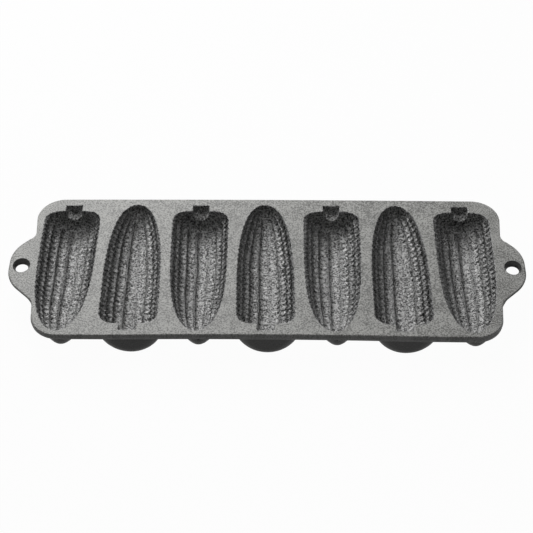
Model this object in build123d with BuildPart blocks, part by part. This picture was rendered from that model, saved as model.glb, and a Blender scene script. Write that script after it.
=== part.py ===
"""Cast iron corn stick pan: a flat deck with seven ear-shaped cups and a hanging lug at each end.

Millimetres, +Z up. The origin is on the surface that the pan stands on, under the middle of the
deck. X runs along the pan through both lugs, and -Y is the front edge.
"""
from build123d import *
from math import atan, cos, degrees, radians, sin, sqrt, tan
import os

# Whole casting
overall_length = 387.6
overall_height = 25.0

# Deck, a flat plate that narrows a little towards the front, as the end ears do
deck_depth = 143.0
deck_back_width = 360.0
deck_front_width = 341.0
deck_thickness = 5.8
deck_corner_radius = 24.0
edge_draft_angle = 6.0
edge_round = 0.8

# Lugs, one at each end, a little in front of the middle
lug_tip_width = 31.0
lug_flank_angle = 45.0
lug_tip_radius = 28.0
lug_root_radius = 9.0
lug_setback = 1.0
lug_root_overlap = 6.0
lug_joint_offset = 0.5

# Hanging holes, a short round throat under a flared mouth
hole_spacing = 369.0
hole_throat_radius = 5.0
hole_throat_length = 2.0
hole_mouth_radius = 7.0

# Ear cavities, the shape of half an ear of corn
ear_count = 7
ear_pitch = 50.0
ear_length = 124.0
ear_width = 42.6
ear_depth = 20.5
ear_tip_margin = 6.1
ear_setback = 0.9
nose_length = 100.0
nose_slope_share = 3.23
nose_round_share = 0.47
keel_fullness_share = 0.6
butt_round = 8.0
butt_floor_round = 6.0
butt_narrowing = 1.0
widest_place = 60.0
narrowing_curve_share = 1.5

# Kernels, in rows along the ear and rings across it
rows_round_ear = 16
kernel_length = 5.05
row_groove = 1.0
ring_groove = 0.7
kernel_crown_share = 0.5
rim_lobe_share = 0.25

# Smooth ends of an ear, with the places of their sections as shares of each end
smooth_tip = 6.0
smooth_butt = 3.0
tip_flat = 0.8
tip_place_shares = (0, 0.15, 0.45)
butt_place_shares = (0.5, 0.15, 0)

# Stem notch at the butt of each ear
stem_length = 6.3
stem_top_width = 12.6
stem_floor_width = 9.6
stem_depth = 9.0
stem_floor_round = 3.0

# Cups under the deck
side_wall = 3.6
end_wall = 4.2
cup_butt_reach = 10.0
cup_butt_round = 12.8
cup_heel_round = 9.8
cup_fullness_share = 0.51
foot_flat = 0.3
smooth_steps = 14

# One overrun serves every cut
overrun = 1.0

# Turns, in degrees
quarter_turn = 90
half_turn = 180
full_turn = 360

deck_top = overall_height
deck_under = deck_top - deck_thickness
half_depth = deck_depth / 2
ear_half_width = ear_width / 2
row_angle = full_turn / rows_round_ear
half_row_angle = row_angle / 2
rows_to_rim = int(quarter_turn / row_angle)
rim_row_angle = rows_to_rim * row_angle - half_row_angle


def nose_share(distance):
    """Share of the full half-width at a distance from the tip."""
    remaining = max(0, 1 - distance / nose_length)
    return (1 - remaining**nose_slope_share) ** nose_round_share


def end_inset(distance, whole_length, radius):
    """How far a rounded butt end stands inside the straight side."""
    to_end = whole_length - distance
    if to_end >= radius:
        return 0
    return radius - sqrt(radius**2 - (radius - to_end) ** 2)


def ear_half_width_at(distance):
    """Half-width of the cavity at the deck, at a distance from its tip."""
    full = ear_half_width * nose_share(distance)
    past_widest = max(0, distance - widest_place) / (ear_length - widest_place)
    narrowing = butt_narrowing * past_widest**narrowing_curve_share
    return full - narrowing - end_inset(distance, ear_length, butt_round)


def ear_depth_at(distance):
    """Depth of the cavity under the deck's top, at a distance from its tip."""
    full = ear_depth * nose_share(distance) ** keel_fullness_share
    return full - end_inset(distance, ear_length, butt_floor_round)


def ear_y(distance):
    """Place along Y of a distance from the tip, for an ear whose tip is at the front."""
    return -half_depth + ear_tip_margin + distance


def lobed_section(distance, ring_inset, row_inset):
    """Draws the cavity's section at a distance from the tip, one arc to each row of kernels."""
    half_width = ear_half_width_at(distance)
    depth = ear_depth_at(distance)

    def on_section(angle, inset):
        across = (half_width - inset) * sin(radians(angle))
        down = (depth - inset) * cos(radians(angle))
        return (across, deck_top - down)

    with BuildSketch(Plane.XZ.offset(-ear_y(distance))) as section:
        with BuildLine():
            rim_left = on_section(-quarter_turn, ring_inset)
            rim_right = on_section(quarter_turn, ring_inset)
            rim_lobe_angle = (quarter_turn + rim_row_angle) / 2
            for side in (-1, 1):
                ThreePointArc(
                    on_section(side * quarter_turn, ring_inset),
                    on_section(side * rim_lobe_angle, ring_inset + rim_lobe_share * row_inset),
                    on_section(side * rim_row_angle, ring_inset + row_inset),
                )
            for row in range(1 - rows_to_rim, rows_to_rim):
                row_middle = row * row_angle
                ThreePointArc(
                    on_section(row_middle - half_row_angle, ring_inset + row_inset),
                    on_section(row_middle, ring_inset),
                    on_section(row_middle + half_row_angle, ring_inset + row_inset),
                )
            Polyline(
                rim_left,
                (rim_left[0], deck_top + overrun),
                (rim_right[0], deck_top + overrun),
                rim_right,
            )
        make_face()
    return section.sketch


def kernel_stations():
    """Distances from the tip with how deep the ring groove is there, from 0 to 1."""
    kernel_run = ear_length - smooth_tip - smooth_butt
    ring_count = round(kernel_run / kernel_length)
    pitch = kernel_run / ring_count
    stations = []
    for ring in range(ring_count):
        start = smooth_tip + ring * pitch
        stations.append((start, 1))
        stations.append((start + pitch * kernel_crown_share, 0))
    stations.append((smooth_tip + kernel_run, 1))
    return stations


def ear_sections():
    """All sections of the cavity in order, from the tip to the butt."""
    sections = []
    for place_share in tip_place_shares:
        distance = tip_flat + place_share * (smooth_tip - tip_flat)
        sections.append(lobed_section(distance, 0, 0))
    for distance, groove_share in kernel_stations():
        slimness = nose_share(distance)
        ring_inset = groove_share * ring_groove * slimness
        sections.append(lobed_section(distance, ring_inset, row_groove * slimness))
    for place_share in butt_place_shares:
        distance = ear_length - place_share * smooth_butt
        sections.append(lobed_section(distance, 0, place_share * row_groove))
    return sections


def is_lug_root(corner):
    """True for the corner where a lug's flank meets the deck's side."""
    inside_tip = abs(corner.X) < overall_length / 2 - lug_root_radius
    on_side = abs(corner.Y) < half_depth - deck_corner_radius - overrun
    return inside_tip and on_side


def stem_section():
    """Section of the stem notch at its outer end."""
    with BuildSketch(Plane.XZ.offset(-ear_y(ear_length + stem_length))) as section:
        with BuildLine():
            Polyline(
                (-stem_top_width / 2, deck_top + overrun),
                (-stem_top_width / 2, deck_top),
                (-stem_floor_width / 2, deck_top - stem_depth),
                (stem_floor_width / 2, deck_top - stem_depth),
                (stem_top_width / 2, deck_top),
                (stem_top_width / 2, deck_top + overrun),
                close=True,
            )
        make_face()
        floor_corners = section.vertices().group_by(Axis.Y)[0]
        fillet(floor_corners, stem_floor_round)
    return section.sketch


# Ear form, the solid shape of an ear of corn that leaves the cavity
with BuildPart() as ear_form:
    loft(ear_sections(), ruled=True)

# Stem form, the notch that runs out of the ear's butt
with BuildPart() as stem_form:
    extrude(stem_section(), amount=stem_length + butt_round)


def smooth_section(y, half_width, depth, rise):
    """Half-ellipse hung from the deck's top, with straight sides up to a rise above it."""
    with BuildSketch(Plane.XZ.offset(-y)) as section:
        with Locations((0, deck_top)):
            Ellipse(half_width, depth)
            Rectangle(2 * half_width, depth, align=(Align.CENTER, Align.MIN), mode=Mode.SUBTRACT)
            Rectangle(2 * half_width, rise, align=(Align.CENTER, Align.MIN))
    return section.sketch


def rounded_stations(whole_length):
    """Distances from the tip, close together at the two rounded ends."""
    stations = []
    for step in range(smooth_steps + 1):
        along_share = (1 - cos(radians(half_turn * step / smooth_steps))) / 2
        stations.append(tip_flat + along_share * (whole_length - tip_flat))
    return stations


def cup_sections():
    """Outer sections of a cup from its tip to its butt."""
    cup_length = end_wall + ear_length + cup_butt_reach
    sections = []
    for distance in rounded_stations(cup_length):
        half_width = (ear_half_width + side_wall) * nose_share(distance)
        half_width -= end_inset(distance, cup_length, cup_butt_round)
        depth = (overall_height + foot_flat) * nose_share(distance) ** cup_fullness_share
        depth -= end_inset(distance, cup_length, cup_heel_round)
        sections.append(smooth_section(ear_y(distance - end_wall), half_width, depth, overrun))
    return sections


def rim_sections():
    """Sections of the cavity without its kernels, from its tip to its butt."""
    sections = []
    for distance in rounded_stations(ear_length):
        half_width = ear_half_width_at(distance)
        depth = ear_depth_at(distance)
        sections.append(smooth_section(ear_y(distance), half_width, depth, overrun))
    return sections


# One cup, open where the ear form leaves it, below the deck and flat where the pan stands
with BuildPart() as cup:
    loft(cup_sections())
    add(ear_form.part, mode=Mode.SUBTRACT)
    add(stem_form.part, mode=Mode.SUBTRACT)
    split(bisect_by=Plane.XY.offset(deck_under), keep=Keep.BOTTOM)
    split(bisect_by=Plane.XY, keep=Keep.TOP)

# Deck and lugs in one plate, drafted both ways from a parting line at half its thickness
lug_tip_x = overall_length / 2
lug_inner_x = deck_front_width / 2 - lug_root_overlap
lug_flank_rise = (lug_tip_x - lug_inner_x) * tan(radians(lug_flank_angle))
with BuildPart() as plate:
    with BuildSketch(Plane.XY.offset(deck_top - deck_thickness / 2)) as outline:
        with BuildLine():
            Polyline(
                (-deck_back_width / 2, half_depth),
                (-deck_front_width / 2, -half_depth),
                (deck_front_width / 2, -half_depth),
                (deck_back_width / 2, half_depth),
                close=True,
            )
        make_face()
        fillet(outline.vertices(), deck_corner_radius)
        for side in (-1, 1):
            with BuildLine():
                Polyline(
                    (side * lug_tip_x, lug_tip_width / 2 - lug_setback),
                    (side * lug_inner_x, lug_tip_width / 2 + lug_flank_rise - lug_setback),
                    (side * lug_inner_x, -lug_tip_width / 2 - lug_flank_rise - lug_setback),
                    (side * lug_tip_x, -lug_tip_width / 2 - lug_setback),
                    close=True,
                )
            make_face()
        tips = outline.vertices().filter_by(lambda corner: abs(corner.X) > lug_tip_x - overrun)
        fillet(tips, lug_tip_radius)
        roots = outline.vertices().filter_by(is_lug_root)
        fillet(roots, lug_root_radius)
    extrude(amount=deck_thickness / 2, taper=edge_draft_angle)
    top_edges = plate.faces().sort_by(Axis.Z)[-1].edges()
    fillet(top_edges, edge_round)
    mirror(about=Plane.XY.offset(deck_top - deck_thickness / 2))
    hole_places = [(side * hole_spacing / 2, -lug_setback, deck_top) for side in (-1, 1)]
    mouth_length = deck_thickness - hole_throat_length
    mouth_slope = atan((hole_mouth_radius - hole_throat_radius) / mouth_length)
    with Locations(*hole_places):
        CounterSinkHole(
            hole_throat_radius, hole_mouth_radius, counter_sink_angle=2 * degrees(mouth_slope)
        )

# Planes where the lugs meet the deck, along its two slanting sides
side_lean = (deck_back_width - deck_front_width) / 2
side_middle = (deck_back_width + deck_front_width) / 4 + lug_joint_offset
right_side = Plane(origin=(side_middle, 0, 0), z_dir=(deck_depth, -side_lean, 0))
left_side = Plane(origin=(-side_middle, 0, 0), z_dir=(-deck_depth, -side_lean, 0))

# Places of the seven ears, the odd ones with the tip to the front, all a little in front of the middle
first_ear_x = -ear_pitch * (ear_count - 1) / 2
ear_places = [
    Location((first_ear_x + ear * ear_pitch, -ear_setback, 0), (0, 0, half_turn * (ear % 2)))
    for ear in range(ear_count)
]

# Smooth form of an ear where it crosses the deck
with BuildPart() as rim_form:
    loft(rim_sections())
    split(bisect_by=Plane.XY.offset(deck_under - overrun), keep=Keep.TOP)

with BuildPart() as deck:
    add(plate.part)
    split(bisect_by=right_side, keep=Keep.BOTTOM)
    split(bisect_by=left_side, keep=Keep.BOTTOM)
    for place in ear_places:
        add(rim_form.part.moved(place), mode=Mode.SUBTRACT)
        add(stem_form.part.moved(place), mode=Mode.SUBTRACT)

with BuildPart() as left_lug:
    add(plate.part)
    split(bisect_by=left_side, keep=Keep.TOP)

with BuildPart() as right_lug:
    add(plate.part)
    split(bisect_by=right_side, keep=Keep.TOP)

deck.part.label = "deck"
left_lug.part.label = "left_lug"
right_lug.part.label = "right_lug"

os.makedirs("parts", exist_ok=True)
for piece in (deck.part, left_lug.part, right_lug.part):
    export_step(piece, f"parts/{piece.label}.step")

for ear, place in enumerate(ear_places):
    with BuildPart() as placed_cup:
        add(cup.part.moved(place))
    placed_cup.part.label = f"ear_cup_{ear + 1}"
    export_step(placed_cup.part, f"parts/{placed_cup.part.label}.step")
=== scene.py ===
"""Looks of the cast iron corn stick pan: the casting's skin, its seasoned iron and a white studio.

The casting's skin is built in pieces that stand for the solids one by one: the deck, the two lugs and
the seven ear cups. The pan's lengths are in millimetres until a mesh is written, and those of the lights
and the floor are in metres.
"""

from math import cos, pi, radians, sin

import bpy
import numpy as np
from mathutils import Matrix, Vector
from mathutils.geometry import delaunay_2d_cdt


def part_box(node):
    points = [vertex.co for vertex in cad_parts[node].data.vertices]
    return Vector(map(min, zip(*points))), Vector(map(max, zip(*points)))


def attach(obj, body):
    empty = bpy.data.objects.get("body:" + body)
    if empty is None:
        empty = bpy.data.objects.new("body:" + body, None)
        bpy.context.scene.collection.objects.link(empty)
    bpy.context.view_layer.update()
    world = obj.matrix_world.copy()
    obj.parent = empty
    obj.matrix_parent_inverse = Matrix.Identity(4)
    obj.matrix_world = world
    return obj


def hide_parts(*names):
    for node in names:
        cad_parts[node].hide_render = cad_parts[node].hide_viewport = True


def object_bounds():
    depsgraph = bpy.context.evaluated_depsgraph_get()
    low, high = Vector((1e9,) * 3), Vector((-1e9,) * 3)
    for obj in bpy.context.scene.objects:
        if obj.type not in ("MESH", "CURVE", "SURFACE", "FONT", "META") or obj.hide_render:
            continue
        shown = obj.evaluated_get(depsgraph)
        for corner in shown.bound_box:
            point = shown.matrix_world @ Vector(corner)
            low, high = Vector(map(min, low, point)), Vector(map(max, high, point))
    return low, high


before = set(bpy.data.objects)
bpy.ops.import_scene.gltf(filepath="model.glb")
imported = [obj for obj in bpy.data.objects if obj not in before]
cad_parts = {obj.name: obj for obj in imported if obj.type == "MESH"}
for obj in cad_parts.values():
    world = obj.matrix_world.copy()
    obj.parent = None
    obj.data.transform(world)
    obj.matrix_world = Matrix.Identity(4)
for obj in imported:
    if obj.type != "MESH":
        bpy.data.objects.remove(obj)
cad_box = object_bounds()

MM = 0.001

# Whole casting, from the frame
HALF_LENGTH, HALF_DEPTH, DECK_TOP = np.array(cad_box[1]) / MM
DECK_THICKNESS = DECK_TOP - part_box("deck")[0].z / MM

# Deck
DECK_BACK_WIDTH = 360.0
DECK_FRONT_WIDTH = 341.0
DECK_RIGHT_GROWTH = 0.9
DECK_CORNER_RADIUS = 21.0
FRONT_HOLLOW = 0.9
FRONT_HOLLOW_REACH = 110.0
EDGE_DRAFT = 0.3
EDGE_ROUND = 0.8
PARTING_RIDGE = 0.14
PARTING_HALF_HEIGHT = 0.3
RIM_GROWTH_SHARE = 0.004
OUTLINE_STEP = 1.2

# Places down the parting line, in half heights of its ridge, each with the share of the ridge there
PARTING_PROFILE = ((-2, 0), (-1, 0), (-0.5, 1), (0.5, 1), (1, 0), (2, 0))

# Bow of the deck's top, which the real casting took on as it cooled
BOW = 0.8
BOW_REACH = 170.0

# Lugs and their holes
LUG_TIP_WIDTH = 31.0
LUG_TIP_RADIUS = 28.0
LUG_ROOT_RADIUS = 9.0
LUG_SETBACK = 1.0
LUG_THICKNESS = 4.2
LUG_UNDER_ROUND = 3.2
LUG_BLEND = 4.0
LUG_JOINT_OFFSET = 0.5
HOLE_SPACING = 369.0
HOLE_MOUTH = (6.2, 7.1)
HOLE_THROAT = (4.8, 4.8)
HOLE_MOUTH_DEPTH = 3.2
HOLE_MOUTH_POWER = 0.8
HOLE_EDGE_ROUND = 0.4

# Ears
EAR_COUNT = 7
EAR_PITCH = 50.0
EAR_LENGTH = 124.0
EAR_WIDTH = 42.4
EAR_DEPTH = 20.5
EAR_TIP_MARGIN = 6.1
EAR_SETBACK = 0.9
NOSE_LENGTH = 100.0
NOSE_SLOPE_SHARE = 3.23
NOSE_ROUND_SHARE = 0.47
KEEL_FULLNESS_SHARE = 0.6
BUTT_ROUND = 9.0
BUTT_FLOOR_ROUND = 6.0
BUTT_CROWN = 1.4
CROWN_POWER = 1.5
BUTT_LEAN_SHARE = 0.10
RIM_ROUND = 0.6

# What the ears differ by, from left to right: a shift along X, how far the tip stands to the right of
# the butt, how much wider the nose is, and how far the rows of kernels are turned round the ear
EAR_SHIFTS = (-1.4, -0.9, -1.2, -1.1, -0.4, -0.1, -0.1)
EAR_LEANS = (-1.2, -0.8, 1.2, -2.1, 0.5, -1.8, 1.5)
EAR_SWELLS = (0.5, -0.3, 0.5, -0.3, 0.5, -0.3, 0.5)
EAR_ROW_TURNS = (4.0, 5.6, 4.0, 4.2, 5.5, 2.2, 6.5)
SWELL_PLACE = 26.0
SWELL_REACH = 26.0

# Stem notches
STEM_LENGTH = 6.3
STEM_WIDTH = 12.6
STEM_DEPTH = 9.0
STEM_END_DEPTH = 7.8
STEM_FULLNESS_SHARE = 0.75
STEM_LOBE = 0.5
STEM_LOBE_START_SHARE = 0.8
STEM_ROW = 7.4
STEM_ROW_SHIFT = 1.0
STEM_RIDGE = 1.2

# Kernels. The ridges between rings grow up the cavity's sides, from one angle to another, in degrees
HALF_ROUND_ROWS = 7
ROW_ANGLE = 180 / HALF_ROUND_ROWS
ROW_COUNT = 11
RING_PITCH = 5.05
SMOOTH_TIP = 6.0
SMOOTH_BUTT = 3.0
TIP_FADE_START_SHARE = 0.5
TIP_FADE_END_SHARE = 1.5
BUTT_FADE = 2.0
ROW_RIDGE = 2.8
RING_RIDGE = 0.6
RING_LOSS_SHARE = 0.5
SIDE_RING_RIDGE = 1.5
STEEP_FROM_ANGLE = 15
STEEP_TO_ANGLE = 60
RIM_SCALLOP = 0.8
RIM_SCALLOP_DEPTH = 3.5
ROW_SHARPNESS = 2.6
RING_SHARPNESS = 2.2
ROW_WANDER = 0.035
ROW_WANDER_LENGTHS = (9, 13)
RING_SHIFT_SHARE = 0.12
KERNEL_HOLLOW = 0.2
# Painted shade along the lines between rows and between rings of kernels, where the ridges' flanks fall in
# shade
PAINTED_ROW_SHADE = 0.75
PAINTED_RING_SHADE = 0.4

# Wear and a painted highlight in each cavity: its floor is rubbed smooth a little to the right of the
# middle, and the row of kernels beside it gets a painted highlight. Angles in degrees from the floor's
# middle
SMOOTH_WEAR_ANGLE = 12.0
SMOOTH_WEAR_REACH = 10.0
SMOOTH_WEAR_SHARE = 0.75
PAINTED_HIGHLIGHT_ANGLE = 38.0
PAINTED_HIGHLIGHT_REACH = 10.0
PAINTED_HIGHLIGHT_SHARE = 0.5

# Unevenness of the sand casting
LUMP_WAVES = 10
LUMP_LENGTHS = (4, 14)
LUMP_HEIGHT = 0.18
LUMP_FADE_DEPTH = 2.0
FIRST_SEED = 40

# Cups. Their keels would reach a little past the standing face, and are cut flat there
SIDE_WALL = 3.6
END_WALL = 4.2
CUP_BUTT_REACH = 10.0
CUP_BUTT_ROUND = 10.5
CUP_HEEL_ROUND = 8.0
CUP_FULLNESS_SHARE = 0.51
FOOT_FLAT = 0.3
MOULD_SHIFT = 2.2
CUP_HIDDEN_TOP = 3.0

# Counts of points, and the angles in degrees of those round a cavity's rim
EDGE_ROUND_STEPS = 6
HOLE_POINTS = 48
HOLE_ROUND_STEPS = 3
HOLE_MOUTH_STEPS = 4
BLEND_POINTS = 21
RIM_ARC_ANGLES = (90, 70, 50, 30, 12)
TIP_STEPS = 18
TIP_CLOSENESS = 3
BODY_STEPS = 200
WALL_STEPS = 14
STEM_STEPS = 8
END_STEPS = 8
FLOOR_COLUMNS = 97
CUP_STEPS = 60
CUP_COLUMNS = 65

# Limits of measure, below which lengths, rises and distances count as nothing
LEAST_LENGTH = 1e-9
LEAST_RISE = 1e-12
LEAST_DISTANCE = 1e-6


def smooth_step(low, high, value):
    """Rises smoothly from 0 at low to 1 at high."""
    share = np.clip((value - low) / (high - low), 0, 1)
    return share * share * (3 - 2 * share)


def unit(vectors):
    """Vectors scaled to length 1."""
    return vectors / np.maximum(np.linalg.norm(vectors, axis=-1, keepdims=True), LEAST_LENGTH)


def bowed(points):
    """Points of the straight casting, moved to where its bow puts them."""
    points = np.array(points, float)
    points[:, 2] -= BOW * (points[:, 0] / BOW_REACH) ** 2 * points[:, 2] / DECK_TOP
    return points


# Outline of the deck and its lugs


def side_x(y, side):
    """Distance of the deck's left (-1) or right (1) side from the middle, at a place along Y."""
    share = (y + HALF_DEPTH) / (2 * HALF_DEPTH)
    half_width = (DECK_FRONT_WIDTH + (DECK_BACK_WIDTH - DECK_FRONT_WIDTH) * share) / 2
    return half_width + DECK_RIGHT_GROWTH * (side > 0)


def side_corners(side):
    """Sharp corners of one side of the deck with its lug, from front to back, each with its radius."""
    low_y = -LUG_TIP_WIDTH / 2 - LUG_SETBACK
    high_y = LUG_TIP_WIDTH / 2 - LUG_SETBACK
    lean = (DECK_BACK_WIDTH - DECK_FRONT_WIDTH) / (4 * HALF_DEPTH)
    low_run = (HALF_LENGTH - side_x(low_y, side)) / (1 - lean)
    high_run = (HALF_LENGTH - side_x(high_y, side)) / (1 + lean)
    corners = [
        (side_x(-HALF_DEPTH, side), -HALF_DEPTH, DECK_CORNER_RADIUS),
        (HALF_LENGTH - low_run, low_y - low_run, LUG_ROOT_RADIUS),
        (HALF_LENGTH, low_y, LUG_TIP_RADIUS),
        (HALF_LENGTH, high_y, LUG_TIP_RADIUS),
        (HALF_LENGTH - high_run, high_y + high_run, LUG_ROOT_RADIUS),
        (side_x(HALF_DEPTH, side), HALF_DEPTH, DECK_CORNER_RADIUS),
    ]
    return [(side * x, y, radius) for x, y, radius in corners]


def outline_corners():
    """Sharp corners of the deck with its lugs, counter-clockwise, with the radius that rounds each."""
    corners = np.array(side_corners(1) + side_corners(-1)[::-1])
    return corners[:, :2], corners[:, 2]


def rounded_outline():
    """Points and outward normals along the outline, with its corners rounded."""
    corners, radii = outline_corners()
    arcs = []
    befores = np.roll(corners, 1, 0)
    afters = np.roll(corners, -1, 0)
    for corner, before, after, radius in zip(corners, befores, afters, radii):
        back = unit(before - corner)
        ahead = unit(after - corner)
        half_opening = np.arccos(back @ ahead) / 2
        reach = radius / np.tan(half_opening)
        middle = corner + unit(back + ahead) * radius / np.sin(half_opening)
        outwards = np.sign(ahead[0] * back[1] - ahead[1] * back[0])
        arcs.append((corner + back * reach, corner + ahead * reach, middle, outwards))
    points = []
    normals = []
    for (start, end, middle, outwards), following in zip(arcs, arcs[1:] + arcs[:1]):
        radius = np.linalg.norm(start - middle)
        first = np.arctan2(start[1] - middle[1], start[0] - middle[0])
        last = np.arctan2(end[1] - middle[1], end[0] - middle[0])
        sweep = (last - first + pi) % (2 * pi) - pi
        for share in np.linspace(0, 1, 2 + int(abs(sweep) * radius / OUTLINE_STEP)):
            radial = np.array([cos(first + sweep * share), sin(first + sweep * share)])
            points.append(middle + radial * radius)
            normals.append(radial * outwards)
        run = following[0] - end
        along = unit(run)
        for share in np.linspace(0, 1, 2 + int(np.linalg.norm(run) / OUTLINE_STEP))[1:-1]:
            points.append(end + run * share)
            normals.append(np.array([along[1], -along[0]]))
    points = np.array(points)
    hollow = FRONT_HOLLOW * np.clip(1 - (points[:, 0] / FRONT_HOLLOW_REACH) ** 2, 0, 1)
    points[:, 1] += hollow * (points[:, 1] < EAR_TIP_MARGIN - HALF_DEPTH)
    return points, np.array(normals)


def lug_share(points):
    """0 on the deck and 1 on a lug, with a short blend past the joint."""
    past_side = np.abs(points[:, 0]) - side_x(points[:, 1], points[:, 0])
    return smooth_step(0, LUG_BLEND, past_side)


def thickness_at(points):
    """Thickness of the plate, thinner at the lugs and growing a little from left to right."""
    deck = DECK_THICKNESS + RIM_GROWTH_SHARE * points[:, 0]
    return deck + (LUG_THICKNESS - deck) * lug_share(points)


def edge_strip(outline, normals):
    """Rings of points down the plate's edge: a top round, a parting ridge and an under round."""
    thickness = thickness_at(outline)
    under_round = EDGE_ROUND + (LUG_UNDER_ROUND - EDGE_ROUND) * lug_share(outline)
    parting = (thickness + EDGE_ROUND - under_round) / 2
    quarter = np.linspace(0, pi / 2, EDGE_ROUND_STEPS + 1)
    profile = []
    for angle in quarter:
        profile.append((EDGE_DRAFT + EDGE_ROUND * (1 - sin(angle)), EDGE_ROUND * (1 - cos(angle))))
    for side, ridge in PARTING_PROFILE:
        inset = EDGE_DRAFT / 2 - ridge * PARTING_RIDGE
        profile.append((inset, parting + side * PARTING_HALF_HEIGHT))
    for angle in quarter[::-1]:
        inset = EDGE_DRAFT + under_round * (1 - sin(angle))
        profile.append((inset, thickness - under_round * (1 - cos(angle))))
    rings = []
    for inset, down in profile:
        edge = outline - normals * np.reshape(inset, (-1, 1))
        rings.append(np.column_stack([edge, DECK_TOP - down * np.ones(len(outline))]))
    return np.array(rings)


# Ear of corn


def nose_share(distance):
    """Share of the full half-width at a distance from the tip."""
    remaining = np.clip(1 - distance / NOSE_LENGTH, 0, 1)
    return (1 - remaining**NOSE_SLOPE_SHARE) ** NOSE_ROUND_SHARE


def end_inset(to_end, radius):
    """How far a rounded end stands inside the straight side."""
    inside = np.clip(radius - to_end, 0, radius)
    return radius - np.sqrt(radius**2 - inside**2)


def half_width_at(distance, ear):
    """Half-width of a cavity at the deck, at a distance from its tip."""
    swell = EAR_SWELLS[ear] * np.exp(-(((distance - SWELL_PLACE) / SWELL_REACH) ** 2))
    full = (EAR_WIDTH / 2 + swell) * nose_share(distance)
    return full - end_inset(EAR_LENGTH - distance, BUTT_ROUND)


def depth_at(distance):
    """Depth of a cavity at a distance from its tip."""
    full = EAR_DEPTH * nose_share(distance) ** KEEL_FULLNESS_SHARE
    return full - end_inset(EAR_LENGTH - distance, BUTT_FLOOR_ROUND)


def cavity_stations():
    """Sections from tip to stem: distance, share of the stem's shape, and size of the section."""
    tip = SMOOTH_TIP * (np.arange(1, TIP_STEPS) / TIP_STEPS) ** TIP_CLOSENESS
    body = np.linspace(SMOOTH_TIP, EAR_LENGTH, BODY_STEPS + 1)
    wall = np.arange(1, WALL_STEPS + 1) / WALL_STEPS
    stem = EAR_LENGTH + STEM_LENGTH * np.arange(1, STEM_STEPS + 1) / STEM_STEPS
    closing = 1 - np.arange(1, END_STEPS + 1) / END_STEPS
    wall_places = np.full(WALL_STEPS, EAR_LENGTH)
    closing_places = np.full(END_STEPS, stem[-1])
    distance = np.concatenate([tip, body, wall_places, stem, closing_places])
    stem_share = np.concatenate([np.zeros(len(tip) + len(body)), wall, np.ones(STEM_STEPS + END_STEPS)])
    size = np.concatenate([np.ones(len(distance) - END_STEPS), closing])
    return distance[:, None], stem_share[:, None], size[:, None]


def cavity_angles(depth):
    """Angle of every point from the floor's middle, with close columns where the rim is rounded."""
    rim_depth = np.minimum(RIM_ROUND, depth / 2)
    arc = np.radians(RIM_ARC_ANGLES)
    rim = np.arccos(np.clip(rim_depth * (1 - np.sin(arc)) / depth, -1, 1))
    edge = np.arccos(rim_depth / depth)
    floor = np.linspace(-1, 1, FLOOR_COLUMNS) * edge
    return np.concatenate([-rim, floor, rim[:, ::-1]], axis=1)


def ear_turn(ear):
    """1 for an ear whose tip is at the front, and -1 for one that is turned round."""
    return -1 if ear % 2 else 1


def wear_and_highlight_at(angle, ear, middle, reach):
    """Share of a strip's wear or painted highlight along a cavity, whose middle and reach are in degrees.
    """
    turned_angle = np.degrees(angle) * ear_turn(ear)
    return np.exp(-(((turned_angle - middle) / reach) ** 2))


def kernel_relief(distance, angle, down, ear, rng):
    """How far the iron between the kernels stands into the cavity, and its painted shade, less a painted
    highlight.
    """
    rings = int(EAR_LENGTH / RING_PITCH) + 2
    hollow = rng.normal(0, KERNEL_HOLLOW, (ROW_COUNT, rings))
    ring_shift = rng.normal(0, RING_SHIFT_SHARE, ROW_COUNT)
    wander = ROW_WANDER * np.sin(distance / rng.uniform(*ROW_WANDER_LENGTHS) + rng.uniform(0, 2 * pi))
    turns = (np.degrees(angle) - EAR_ROW_TURNS[ear]) / ROW_ANGLE + wander
    row = np.round(turns)
    across = turns - row
    row = np.clip(row + ROW_COUNT // 2, 0, ROW_COUNT - 1).astype(int)
    ring_place = (distance - SMOOTH_TIP) / RING_PITCH + ring_shift[row]
    ring = np.clip(np.floor(ring_place), 0, rings - 1).astype(int)
    along = np.clip(ring_place - ring - 0.5, -0.5, 0.5)
    row_rise = np.abs(2 * across) ** ROW_SHARPNESS
    ring_rise = np.abs(2 * along) ** RING_SHARPNESS

    steepness = smooth_step(radians(STEEP_FROM_ANGLE), radians(STEEP_TO_ANGLE), np.abs(angle))
    ring_ridge = RING_RIDGE + SIDE_RING_RIDGE * steepness
    inset = ROW_RIDGE * row_rise + ring_ridge * ring_rise * (1 - RING_LOSS_SHARE * row_rise)
    inset += hollow[row, ring] * (1 - row_rise) * (1 - ring_rise)
    rim = RIM_SCALLOP * (ring_rise - 1 / (1 + RING_SHARPNESS))
    inset = rim + (inset - rim) * smooth_step(0, RIM_SCALLOP_DEPTH, down)
    # Painted shade on the ridges between rows and rings, where their flanks fall in shade
    painted_line_shading = PAINTED_ROW_SHADE * row_rise + PAINTED_RING_SHADE * ring_rise * (1 - row_rise)

    # Less painted shade where the floor is rubbed smooth, and a painted highlight on the row beside it
    smooth_wear = SMOOTH_WEAR_SHARE * wear_and_highlight_at(angle, ear, SMOOTH_WEAR_ANGLE, SMOOTH_WEAR_REACH)
    painted_highlight = PAINTED_HIGHLIGHT_SHARE * wear_and_highlight_at(angle, ear, PAINTED_HIGHLIGHT_ANGLE, PAINTED_HIGHLIGHT_REACH)
    inset *= 1 - smooth_wear
    painted_line_shading = painted_line_shading * (1 - smooth_wear) - painted_highlight * (1 - row_rise)

    butt = EAR_LENGTH - SMOOTH_BUTT
    fade = smooth_step(SMOOTH_TIP * TIP_FADE_START_SHARE, SMOOTH_TIP * TIP_FADE_END_SHARE, distance)
    fade = fade * (1 - smooth_step(butt - BUTT_FADE, butt + BUTT_FADE, distance))
    return inset * nose_share(distance) * fade, painted_line_shading * fade


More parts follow.
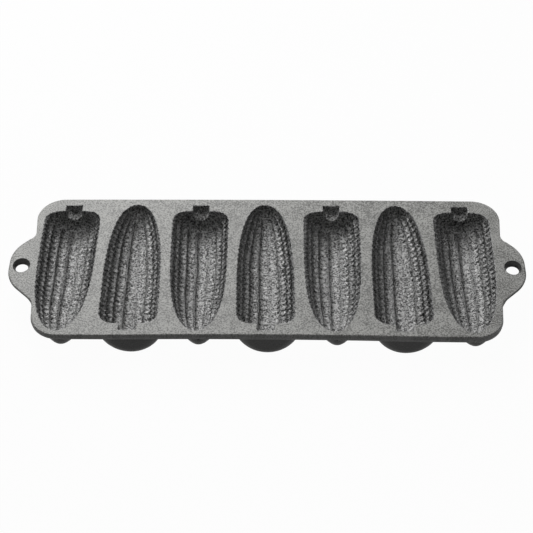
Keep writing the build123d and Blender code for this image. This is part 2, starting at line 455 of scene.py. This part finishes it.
def lumps(points, rng):
    """Small smooth unevenness of a sand casting over a grid of points."""
    height = np.zeros(points.shape[:-1])
    for wave in range(LUMP_WAVES):
        direction = unit(rng.normal(size=points.shape[-1])) * 2 * pi / rng.uniform(*LUMP_LENGTHS)
        height += np.sin(points @ direction + rng.uniform(0, 2 * pi))
    return height / LUMP_WAVES


def stem_section(angle, beyond):
    """Across and down of a stem notch's section, with the ridges that run on into it."""
    depth = STEM_DEPTH + (STEM_END_DEPTH - STEM_DEPTH) * beyond
    across = STEM_WIDTH / 2 * np.sign(angle) * np.abs(np.sin(angle)) ** STEM_FULLNESS_SHARE
    row = (across - STEM_ROW_SHIFT) / STEM_ROW
    ridge = STEM_RIDGE * np.abs(2 * (row - np.round(row))) ** ROW_SHARPNESS * np.cos(angle)
    return across, depth * np.abs(np.cos(angle)) ** STEM_FULLNESS_SHARE - ridge


def cavity_grid(ear):
    """Points of a cavity's skin in the ear's own frame, across, along and up, and the painted shading of
    each.
    """
    rng = np.random.default_rng(FIRST_SEED + ear)
    distance, stem_share, size = cavity_stations()
    in_body = np.minimum(distance, EAR_LENGTH)
    depth = depth_at(in_body)
    angle = cavity_angles(depth)

    across = half_width_at(in_body, ear) * np.sin(angle)
    down = depth * np.cos(angle)
    inset, painted_line_shading = kernel_relief(in_body, angle, down, ear, rng)
    inset *= stem_share == 0
    across -= inset * np.sin(angle)
    down -= inset * np.cos(angle)

    beyond = np.clip((distance - EAR_LENGTH) / STEM_LENGTH, 0, 1)
    stem_across, stem_down = stem_section(angle, beyond)
    across = (across + (stem_across - across) * stem_share) * size
    down = (down + (stem_down - down) * stem_share) * size

    near_butt = smooth_step(EAR_LENGTH - 2 * BUTT_ROUND, EAR_LENGTH, in_body)
    past_stem = np.maximum(np.abs(across) - STEM_WIDTH / 2, 0) / (EAR_WIDTH - STEM_WIDTH) * 2
    crown = BUTT_CROWN * past_stem**CROWN_POWER
    along = distance - near_butt * (BUTT_LEAN_SHARE * down + crown)
    lobe = STEM_LOBE * smooth_step(STEM_LOBE_START_SHARE, 1, beyond)
    along = along - lobe * np.exp(-(across**2))
    across = across + ear_turn(ear) * EAR_LEANS[ear] * (0.5 - along / EAR_LENGTH)
    points = np.stack([across, along, -down], axis=-1)
    uneven = LUMP_HEIGHT * lumps(points, rng) * smooth_step(0, LUMP_FADE_DEPTH, down)
    points[..., 0] -= uneven * np.sin(angle)
    points[..., 2] += uneven * np.cos(angle)
    # The painted shading: 1 less the painted shade of the lines, above 1 under the painted highlight, and
    # 1 in the stem
    return round_the_rim(points, np.maximum(-points[..., 2], 0)), 1 - painted_line_shading * (stem_share == 0)


def round_the_rim(points, down):
    """Bends the top of the wall outwards so that it meets the deck in a small round."""
    tangent = np.gradient(points[:, -1, :2], axis=0)
    normal = unit(np.stack([tangent[:, 1], -tangent[:, 0]], axis=-1))
    side = np.sign(np.arange(points.shape[1]) - points.shape[1] // 2)
    outwards = np.stack([normal[:, :1] * side, normal[:, 1:] * np.abs(side)], axis=-1)
    above = np.clip(RIM_ROUND - down, 0, RIM_ROUND)
    reach = RIM_ROUND - np.sqrt(RIM_ROUND**2 - above**2)
    points[..., :2] += outwards * reach[..., None]
    return points


def cup_grid():
    """Points of a cup's outside, in the ear's own frame."""
    length = END_WALL + EAR_LENGTH + CUP_BUTT_REACH
    side = length * (1 - np.cos(pi * np.arange(1, CUP_STEPS + 1) / CUP_STEPS)) / 2
    distance = np.concatenate([side, np.full(END_STEPS, length)])[:, None]
    size = np.concatenate([np.ones(CUP_STEPS), 1 - np.arange(1, END_STEPS + 1) / END_STEPS])[:, None]
    share = nose_share(distance)
    half_width = (EAR_WIDTH / 2 + SIDE_WALL) * share - end_inset(length - distance, CUP_BUTT_ROUND)
    depth = (DECK_TOP + FOOT_FLAT) * share**CUP_FULLNESS_SHARE
    depth = depth - end_inset(length - distance, CUP_HEEL_ROUND)
    edge = np.arccos(np.clip(CUP_HIDDEN_TOP / depth, 0, 1))
    angle = np.linspace(-1, 1, CUP_COLUMNS) * edge
    across = half_width * np.sin(angle) * size
    down = CUP_HIDDEN_TOP + (depth * np.cos(angle) - CUP_HIDDEN_TOP) * size
    along = distance - END_WALL + 0 * across
    return np.stack([across, along, -np.minimum(down, DECK_TOP)], axis=-1)


def place_ear(points, ear):
    """Moves points from an ear's own frame to the pan's frame."""
    x = (ear - (EAR_COUNT - 1) / 2) * EAR_PITCH + EAR_SHIFTS[ear] + points[..., 0] * ear_turn(ear)
    y = (-HALF_DEPTH + EAR_TIP_MARGIN + points[..., 1]) * ear_turn(ear) - EAR_SETBACK
    return np.stack([x, y, DECK_TOP + points[..., 2]], axis=-1)


# Meshes


def grid_faces(rows, columns, loop=False):
    """Quads over a grid of points, row by row."""
    across = np.arange(columns if loop else columns - 1)
    row, column = np.meshgrid(np.arange(rows - 1), across, indexing="ij")
    beside = (column + 1) % columns
    quads = [row * columns + column, row * columns + beside]
    quads += [(row + 1) * columns + beside, (row + 1) * columns + column]
    return np.stack(quads, axis=-1).reshape(-1, 4)


def make_piece(name, node, patches, shade=()):
    """A piece of the skin from patches of points, faces, smoothness and material number.

    The shade is a painted shading of the first points, from 0 for black to 1, which is also that of the
    others.
    """
    points = np.concatenate([patch[0] for patch in patches])
    faces = []
    smooth = []
    materials = []
    first = 0
    for patch_points, patch_faces, is_smooth, material in patches:
        faces += (patch_faces + first).tolist()
        smooth += [is_smooth] * len(patch_faces)
        materials += [material] * len(patch_faces)
        first += len(patch_points)
    used = np.unique(np.concatenate([np.array(face) for face in faces]))
    new_index = np.zeros(len(points), int)
    new_index[used] = np.arange(len(used))
    mesh = bpy.data.meshes.new(name)
    mesh.from_pydata((bowed(points[used]) * MM).tolist(), [], [new_index[face].tolist() for face in faces])
    mesh.polygons.foreach_set("use_smooth", smooth)
    mesh.polygons.foreach_set("material_index", materials)
    shades = np.ones(len(points))
    shades[: len(shade)] = shade
    mesh.attributes.new("shade", "FLOAT", "POINT").data.foreach_set("value", shades[used])
    piece = bpy.data.objects.new(name, mesh)
    bpy.context.scene.collection.objects.link(piece)
    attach(piece, "root")
    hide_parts(node)
    return piece


def inside_loop(points, loop):
    """True for the points that lie inside a closed loop."""
    x, y = points[:, 0, None], points[:, 1, None]
    following = np.roll(loop, -1, axis=0)
    crosses = (loop[:, 1] > y) != (following[:, 1] > y)
    rise = np.where(following[:, 1] == loop[:, 1], LEAST_RISE, following[:, 1] - loop[:, 1])
    meeting = loop[:, 0] + (y - loop[:, 1]) * (following[:, 0] - loop[:, 0]) / rise
    return (crosses & (x < meeting)).sum(axis=1) % 2 == 1


def plate_triangles(outer, holes, cuts):
    """Flat triangles between an outer loop and its holes, with edges along the cuts."""
    points = []
    edges = []
    for loop in [outer] + holes:
        first = len(points)
        points.extend(Vector(point) for point in loop.tolist())
        edges.extend((first + index, first + (index + 1) % len(loop)) for index in range(len(loop)))
    for cut in cuts:
        edges.extend((len(points) + index, len(points) + index + 1) for index in range(len(cut) - 1))
        points.extend(Vector(point) for point in cut)
    made = delaunay_2d_cdt(points, edges, [], 0, LEAST_DISTANCE)
    flat = np.array([list(point) for point in made[0]])
    triangles = np.array(made[2])
    middles = flat[triangles].mean(axis=1)
    keep = inside_loop(middles, outer)
    for loop in holes:
        keep &= ~inside_loop(middles, loop)
    return flat, triangles[keep]


def hole_rings(side):
    """Rings of points down a lug's hole, from its rounded mouth to the lug's underside."""
    centre = np.array([side * HOLE_SPACING / 2, -LUG_SETBACK])
    turn = np.linspace(0, 2 * pi, HOLE_POINTS, endpoint=False)
    circle = np.stack([np.cos(turn), np.sin(turn)], axis=1)
    mouth = np.array(HOLE_MOUTH)
    throat = np.array(HOLE_THROAT)
    rings = []
    for angle in np.linspace(0, pi / 2, HOLE_ROUND_STEPS + 1):
        size = mouth + HOLE_EDGE_ROUND * (1 - sin(angle))
        rings.append((size, HOLE_EDGE_ROUND * (1 - cos(angle))))
    for share in np.arange(1, HOLE_MOUTH_STEPS + 1) / HOLE_MOUTH_STEPS:
        down = HOLE_EDGE_ROUND + (HOLE_MOUTH_DEPTH - HOLE_EDGE_ROUND) * share
        rings.append((mouth + (throat - mouth) * share**HOLE_MOUTH_POWER, down))
    rings.append((throat, LUG_THICKNESS))
    return np.array([
        np.column_stack([centre + circle * size, np.full(HOLE_POINTS, DECK_TOP - down)])
        for size, down in rings
    ])


def beyond_side(points, side):
    """True for the points outside the joint between the deck and the lug on that side."""
    return points[:, 0] * side > side_x(points[:, 1], side) + LUG_JOINT_OFFSET


def on_deck(points):
    """True for the points between the two joints."""
    return ~beyond_side(points, 1) & ~beyond_side(points, -1)


TOP, CAVITY, EDGE, OUTSIDE = range(4)

cups = []
rim_loops = []
for ear in range(EAR_COUNT):
    inside, shade = cavity_grid(ear)
    inside = place_ear(inside, ear)
    outside = place_ear(cup_grid(), ear) + np.array([MOULD_SHIFT, 0, 0])
    patches = [
        (inside.reshape(-1, 3), grid_faces(*inside.shape[:2]), True, CAVITY),
        (outside.reshape(-1, 3), grid_faces(*outside.shape[:2])[:, ::-1], True, OUTSIDE),
    ]
    cups.append(make_piece(f"iron_ear_cup_{ear + 1}", f"ear_cup_{ear + 1}", patches, shade.ravel()))
    rim_loops.append(np.concatenate([inside[:, -1, :2], inside[-2::-1, 0, :2]]))

outline, outline_normals = rounded_outline()
strip = edge_strip(outline, outline_normals)
holes = {side: hole_rings(side) for side in (-1, 1)}
joint_reach = HALF_DEPTH - DECK_CORNER_RADIUS
joints = [
    [(side * (side_x(y, side) + LUG_JOINT_OFFSET), y) for y in (-joint_reach, joint_reach)]
    for side in (-1, 1)
]
blend_places = np.linspace(-LUG_TIP_WIDTH, LUG_TIP_WIDTH, BLEND_POINTS)
blends = [
    [(side * (side_x(y, side) + share * LUG_BLEND), y) for y in blend_places]
    for side in (-1, 1)
    for share in (0, 0.5, 1)
]
top_flat, top_triangles = plate_triangles(
    strip[0][:, :2], rim_loops + [rings[0][:, :2] for rings in holes.values()], joints
)
under_flat, under_triangles = plate_triangles(
    strip[-1][:, :2], rim_loops + [rings[-1][:, :2] for rings in holes.values()], joints + blends
)
top_points = np.column_stack([top_flat, np.full(len(top_flat), DECK_TOP)])
under_points = np.column_stack([under_flat, DECK_TOP - thickness_at(under_flat)])
strip_points = strip.reshape(-1, 3)
strip_faces = grid_faces(*strip.shape[:2], loop=True)[:, ::-1]
top_round_faces = strip.shape[1] * EDGE_ROUND_STEPS


def plate_patches(belongs):
    """The share of the plate's edge, top and underside that belongs to one piece."""
    patches = []
    for points, faces, smooth, material in (
        (strip_points, strip_faces[:top_round_faces], True, TOP),
        (strip_points, strip_faces[top_round_faces:], True, EDGE),
        (top_points, top_triangles, False, TOP),
        (under_points, under_triangles[:, ::-1], False, OUTSIDE),
    ):
        mine = belongs(points[faces].mean(axis=1))
        patches.append((points, faces[mine], smooth, material))
    return patches


def hole_patch(side):
    """The wall of a lug's hole."""
    rings = holes[side]
    return (rings.reshape(-1, 3), grid_faces(*rings.shape[:2], loop=True), True, OUTSIDE)


deck = make_piece("iron_deck", "deck", plate_patches(on_deck))
left_lug = make_piece(
    "iron_left_lug", "left_lug", plate_patches(lambda points: beyond_side(points, -1)) + [hole_patch(-1)]
)
right_lug = make_piece(
    "iron_right_lug", "right_lug", plate_patches(lambda points: beyond_side(points, 1)) + [hole_patch(1)]
)


# Materials

# Sizes in millimetres, and the places of the noise's dark and light ends
MOTTLE_SIZE = 14
MOTTLE_DETAIL = 3
GRAIN_DETAIL = 1
GRAIN_ROUGHNESS = 0.6
DARK_PLACE = 0.4
LIGHT_PLACE = 0.6
SHEEN_SPREAD = 0.08
SHEEN_SPECKLE_SHARE = 0.5
SHEEN_LOW_PLACE = 0.3
SHEEN_HIGH_PLACE = 0.7


def new_material(name):
    """An empty node material and its tree."""
    material = bpy.data.materials.new(name)
    material.use_nodes = True
    material.node_tree.nodes.clear()
    return material, material.node_tree


def noise_texture(tree, place, size, detail, roughness=0.5):
    """Noise whose features are about a size across, in millimetres."""
    texture = tree.nodes.new("ShaderNodeTexNoise")
    texture.inputs["Scale"].default_value = 1 / (size * MM)
    texture.inputs["Detail"].default_value = detail
    texture.inputs["Roughness"].default_value = roughness
    tree.links.new(place, texture.inputs["Vector"])
    return texture.outputs["Fac"]


def blended(tree, first, second, share):
    """Mix of two values."""
    mix = tree.nodes.new("ShaderNodeMix")
    mix.data_type = "FLOAT"
    mix.inputs["Factor"].default_value = share
    tree.links.new(first, mix.inputs["A"])
    tree.links.new(second, mix.inputs["B"])
    return mix.outputs["Result"]


def seasoned_iron(name, dark, light, grain_size, grain_height, speckle_share, sheen, gloss_level):
    """Sand-cast iron under baked-on oil: mottled dark grey, grainy, with a dull sheen."""
    material, tree = new_material(name)
    nodes, links = tree.nodes, tree.links
    output = nodes.new("ShaderNodeOutputMaterial")
    surface = nodes.new("ShaderNodeBsdfPrincipled")
    surface.inputs["Specular IOR Level"].default_value = gloss_level
    links.new(surface.outputs["BSDF"], output.inputs["Surface"])
    place = nodes.new("ShaderNodeNewGeometry").outputs["Position"]

    mottle = noise_texture(tree, place, MOTTLE_SIZE, MOTTLE_DETAIL)
    speckle = noise_texture(tree, place, grain_size, GRAIN_DETAIL, GRAIN_ROUGHNESS)
    tones = nodes.new("ShaderNodeValToRGB")
    tones.color_ramp.elements[0].position = DARK_PLACE
    tones.color_ramp.elements[0].color = dark
    tones.color_ramp.elements[1].position = LIGHT_PLACE
    tones.color_ramp.elements[1].color = light
    links.new(blended(tree, mottle, speckle, speckle_share), tones.inputs["Fac"])
    # Painted shading scales the colour: painted shade along the kernels' ridges and a painted highlight on
    # one row; 1 elsewhere
    shade = nodes.new("ShaderNodeAttribute")
    shade.attribute_name = "shade"
    shaded = nodes.new("ShaderNodeVectorMath")
    shaded.operation = "SCALE"
    links.new(tones.outputs["Color"], shaded.inputs[0])
    links.new(shade.outputs["Fac"], shaded.inputs["Scale"])
    links.new(shaded.outputs["Vector"], surface.inputs["Base Color"])

    gloss = nodes.new("ShaderNodeMapRange")
    gloss.inputs["From Min"].default_value = SHEEN_LOW_PLACE
    gloss.inputs["From Max"].default_value = SHEEN_HIGH_PLACE
    gloss.inputs["To Min"].default_value = sheen - SHEEN_SPREAD
    gloss.inputs["To Max"].default_value = sheen + SHEEN_SPREAD
    links.new(blended(tree, mottle, speckle, SHEEN_SPECKLE_SHARE), gloss.inputs["Value"])
    links.new(gloss.outputs["Result"], surface.inputs["Roughness"])

    bump = nodes.new("ShaderNodeBump")
    bump.inputs["Distance"].default_value = grain_height * MM
    links.new(speckle, bump.inputs["Height"])
    links.new(bump.outputs["Normal"], surface.inputs["Normal"])
    return material


# Lit and shaded copies of the one seasoned iron: the deck's top painted light as its sheen, the edge and
# the outside painted darker as their shade, and the cavities from black to light grey, their speckle
# partly grain and partly painted glints
deck_iron_painted_lit = seasoned_iron(
    "deck_iron_painted_lit",
    dark=(0.10, 0.10, 0.095, 1),
    light=(0.37, 0.37, 0.355, 1),
    grain_size=1.1,
    grain_height=0.3,
    speckle_share=0.75,
    sheen=0.5,
    gloss_level=0.35,
)
cavity_iron_painted_glints = seasoned_iron(
    "cavity_iron_painted_glints",
    dark=(0.0, 0.0, 0.0, 1),
    light=(0.46, 0.46, 0.455, 1),
    grain_size=1.3,
    grain_height=1.0,
    speckle_share=0.9,
    sheen=0.3,
    gloss_level=0.4,
)
edge_iron_painted_shade = seasoned_iron(
    "edge_iron_painted_shade",
    dark=(0.10, 0.10, 0.097, 1),
    light=(0.25, 0.25, 0.245, 1),
    grain_size=1.2,
    grain_height=0.3,
    speckle_share=0.5,
    sheen=0.55,
    gloss_level=0.35,
)
outside_iron_painted_shade = seasoned_iron(
    "outside_iron_painted_shade",
    dark=(0.02, 0.02, 0.019, 1),
    light=(0.05, 0.05, 0.048, 1),
    grain_size=1.2,
    grain_height=0.3,
    speckle_share=0.5,
    sheen=0.55,
    gloss_level=0.3,
)
for piece in [deck, left_lug, right_lug] + cups:
    for material in (deck_iron_painted_lit, cavity_iron_painted_glints, edge_iron_painted_shade, outside_iron_painted_shade):
        piece.data.materials.append(material)


# Camera at the photograph's place, with angles in radians

FOCAL_PIXELS = 1529.7
IMAGE_PIXELS = 533
SENSOR_WIDTH = 36.0
CAMERA_DISTANCE = 1146.6
CAMERA_ELEVATION = 0.79875
CAMERA_AZIMUTH = 0.01687
CAMERA_ROLL = -0.00708
CAMERA_TARGET = (-0.2, -2.0, DECK_TOP)
CAMERA_FAR_END = 20.0


def make_camera():
    """The camera at the photograph's place."""
    lens = bpy.data.cameras.new("camera")
    lens.sensor_width = SENSOR_WIDTH
    lens.lens = FOCAL_PIXELS / IMAGE_PIXELS * SENSOR_WIDTH
    lens.clip_end = CAMERA_FAR_END
    back = Vector((
        sin(CAMERA_AZIMUTH) * cos(CAMERA_ELEVATION),
        -cos(CAMERA_AZIMUTH) * cos(CAMERA_ELEVATION),
        sin(CAMERA_ELEVATION),
    ))
    level = Vector((cos(CAMERA_AZIMUTH), sin(CAMERA_AZIMUTH), 0))
    up = back.cross(level)
    right = cos(CAMERA_ROLL) * level + sin(CAMERA_ROLL) * up
    above = -sin(CAMERA_ROLL) * level + cos(CAMERA_ROLL) * up
    camera = bpy.data.objects.new("camera", lens)
    turned = Matrix((right, above, back)).transposed().to_4x4()
    place = (Vector(CAMERA_TARGET) + back * CAMERA_DISTANCE) * MM
    camera.matrix_world = Matrix.Translation(place) @ turned
    bpy.context.scene.collection.objects.link(camera)
    bpy.context.scene.camera = camera


make_camera()


# Studio

FLOOR_SIZE = 4.0
FLOOR_GREY = (0.5, 0.5, 0.5, 1)
FLOOR_WHITE_SHARE = 0.97
AMBIENT_STRENGTH = 0.06
WHITE = (1, 1, 1, 1)


def soft_light(name, azimuth, elevation, distance, size, power):
    """A square soft light that faces the pan. Azimuth 0 is in front of the pan and 90 at its right."""
    lamp = bpy.data.lights.new(name, "AREA")
    lamp.size = size
    lamp.energy = power
    light = bpy.data.objects.new(name, lamp)
    turn, rise = radians(azimuth), radians(elevation)
    aim = Vector((sin(turn) * cos(rise), -cos(turn) * cos(rise), sin(rise)))
    light.location = aim * distance
    light.rotation_euler = aim.to_track_quat("Z", "Y").to_euler()
    bpy.context.scene.collection.objects.link(light)


soft_light("key", azimuth=203, elevation=40, distance=1.05, size=0.5, power=9.6)
soft_light("top", azimuth=215, elevation=70, distance=1.1, size=0.6, power=3.4)


def background_rays(tree):
    """1 for the rays that see the white background: the eye's, and those of a sheen or clear glass."""
    rays = tree.nodes.new("ShaderNodeLightPath")
    seen = rays.outputs["Is Camera Ray"]
    for kind in ("Is Glossy Ray", "Is Transmission Ray"):
        either = tree.nodes.new("ShaderNodeMath")
        either.operation = "MAXIMUM"
        tree.links.new(seen, either.inputs[0])
        tree.links.new(rays.outputs[kind], either.inputs[1])
        seen = either.outputs["Value"]
    return seen


def white_floor():
    """A floor that is seen as white and keeps a light shadow of the pan."""
    material, tree = new_material("white_floor")
    nodes, links = tree.nodes, tree.links
    output = nodes.new("ShaderNodeOutputMaterial")
    matt = nodes.new("ShaderNodeBsdfDiffuse")
    matt.inputs["Color"].default_value = FLOOR_GREY
    white = nodes.new("ShaderNodeEmission")
    white.inputs["Color"].default_value = WHITE
    share = nodes.new("ShaderNodeMath")
    share.operation = "MULTIPLY"
    share.inputs[1].default_value = FLOOR_WHITE_SHARE
    links.new(background_rays(tree), share.inputs[0])
    both = nodes.new("ShaderNodeMixShader")
    links.new(share.outputs["Value"], both.inputs["Fac"])
    links.new(matt.outputs["BSDF"], both.inputs[1])
    links.new(white.outputs["Emission"], both.inputs[2])
    links.new(both.outputs["Shader"], output.inputs["Surface"])
    return material


def make_floor():
    """The plain floor that the pan stands on."""
    half = FLOOR_SIZE / 2
    mesh = bpy.data.meshes.new("floor")
    corners = [(-half, -half, 0), (half, -half, 0), (half, half, 0), (-half, half, 0)]
    mesh.from_pydata(corners, [], [range(len(corners))])
    floor = bpy.data.objects.new("floor", mesh)
    bpy.context.scene.collection.objects.link(floor)
    floor.data.materials.append(white_floor())


def make_world():
    """A surround that is seen as white and adds a little soft light."""
    world = bpy.data.worlds.new("surround")
    world.use_nodes = True
    tree = world.node_tree
    tree.nodes.clear()
    output = tree.nodes.new("ShaderNodeOutputWorld")
    ambient = tree.nodes.new("ShaderNodeBackground")
    ambient.inputs["Color"].default_value = WHITE
    ambient.inputs["Strength"].default_value = AMBIENT_STRENGTH
    white = tree.nodes.new("ShaderNodeBackground")
    white.inputs["Color"].default_value = WHITE
    both = tree.nodes.new("ShaderNodeMixShader")
    tree.links.new(background_rays(tree), both.inputs["Fac"])
    tree.links.new(ambient.outputs["Background"], both.inputs[1])
    tree.links.new(white.outputs["Background"], both.inputs[2])
    tree.links.new(both.outputs["Shader"], output.inputs["Surface"])
    bpy.context.scene.world = world


make_floor()
make_world()
bpy.context.scene.view_settings.view_transform = "Standard"
